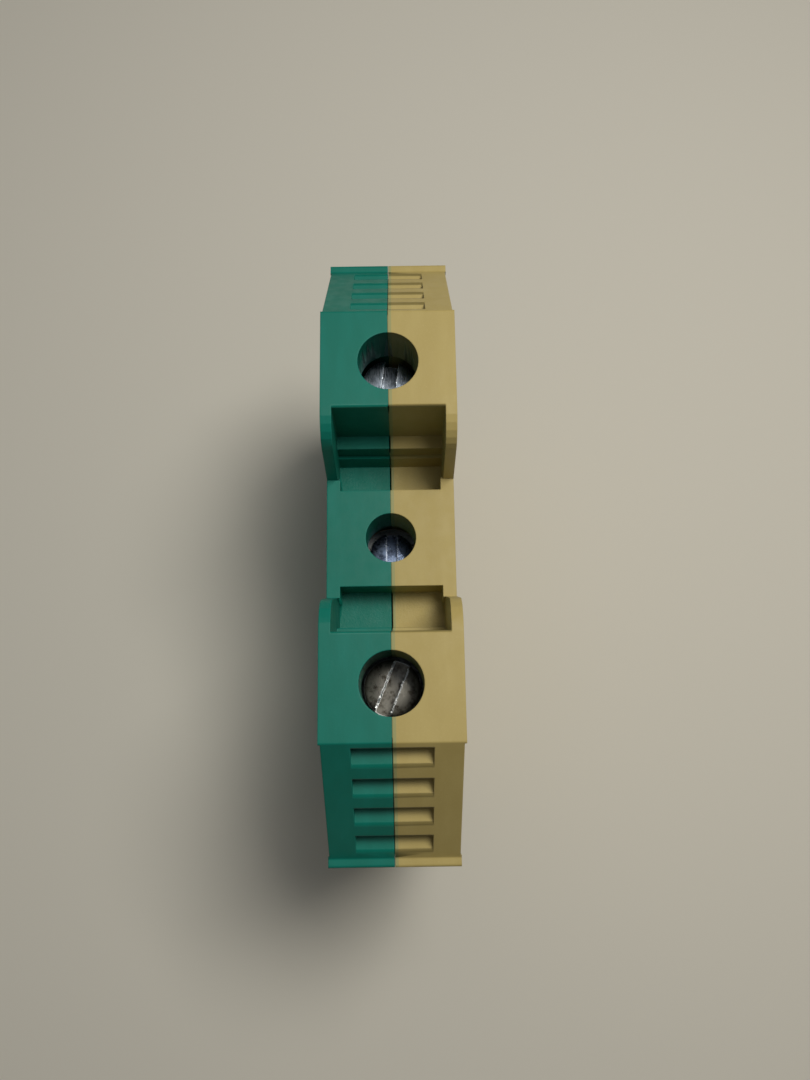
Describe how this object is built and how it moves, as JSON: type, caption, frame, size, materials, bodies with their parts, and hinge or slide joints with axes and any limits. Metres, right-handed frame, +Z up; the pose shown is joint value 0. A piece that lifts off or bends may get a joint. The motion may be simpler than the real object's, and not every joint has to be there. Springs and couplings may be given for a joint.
{
  "type": "earth terminal block",
  "caption": "Two-colour rail-mounted earth terminal with rising-cage screw clamps at both ends and a screw-driven jaw that grips the rail.",
  "frame": {"origin": "on the parting plane of the half shells, midway between the two wire entries, at the level of the feet", "axes": "+Z up towards the screw heads, Y along the block from wire entry to wire entry, X across it along the rail, green shell on -X"},
  "size_m": [0.012, 0.059, 0.0472],
  "materials": {
    "green_plastic": "satin moulded polyamide",
    "yellow_plastic": "satin moulded polyamide",
    "zinc_steel": "zinc plated",
    "tinned_copper": "tin plated"
  },
  "bodies": {
    "housing": {"green_shell": "green_plastic", "yellow_shell": "yellow_plastic", "earth_bar": "tinned_copper", "rail_foot": "zinc_steel"},
    "near_screw": {"near_clamp_screw": "zinc_steel"},
    "far_screw": {"far_clamp_screw": "zinc_steel"},
    "near_cage": {"near_clamp_cage": "zinc_steel"},
    "far_cage": {"far_clamp_cage": "zinc_steel"},
    "rail_bolt": {"rail_screw": "zinc_steel", "lock_washer": "zinc_steel"},
    "jaw": {"rail_jaw": "zinc_steel", "square_nut": "zinc_steel"}
  },
  "joints": [
    {"name": "near_screw_turn", "type": "hinge", "parent": "housing", "child": "near_screw", "pos_m": [0, -0.0141, 0.035], "axis": [0, 0, -1], "range_deg": [0, 2880.1]},
    {"name": "far_screw_turn", "type": "hinge", "parent": "housing", "child": "far_screw", "pos_m": [0, 0.0141, 0.035], "axis": [0, 0, -1], "range_deg": [0, 2880.1]},
    {"name": "near_cage_rise", "type": "slide", "parent": "housing", "child": "near_cage", "axis": [0, 0, 1], "range_m": [0, 0.0056]},
    {"name": "far_cage_rise", "type": "slide", "parent": "housing", "child": "far_cage", "axis": [0, 0, 1], "range_m": [0, 0.0056]},
    {"name": "rail_screw_turn", "type": "hinge", "parent": "housing", "child": "rail_bolt", "pos_m": [0, 0, 0.02], "axis": [0, 0, -1], "range_deg": [0, 960.1]},
    {"name": "jaw_rise", "type": "slide", "parent": "housing", "child": "jaw", "axis": [0, 0, 1], "range_m": [0, 0.0016]}
  ],
  "couplings": [
    {"joint": "near_screw_turn", "follows": "near_cage_rise", "rad_per_m": 8976},
    {"joint": "far_screw_turn", "follows": "far_cage_rise", "rad_per_m": 8976},
    {"joint": "rail_screw_turn", "follows": "jaw_rise", "rad_per_m": 10472}
  ]
}
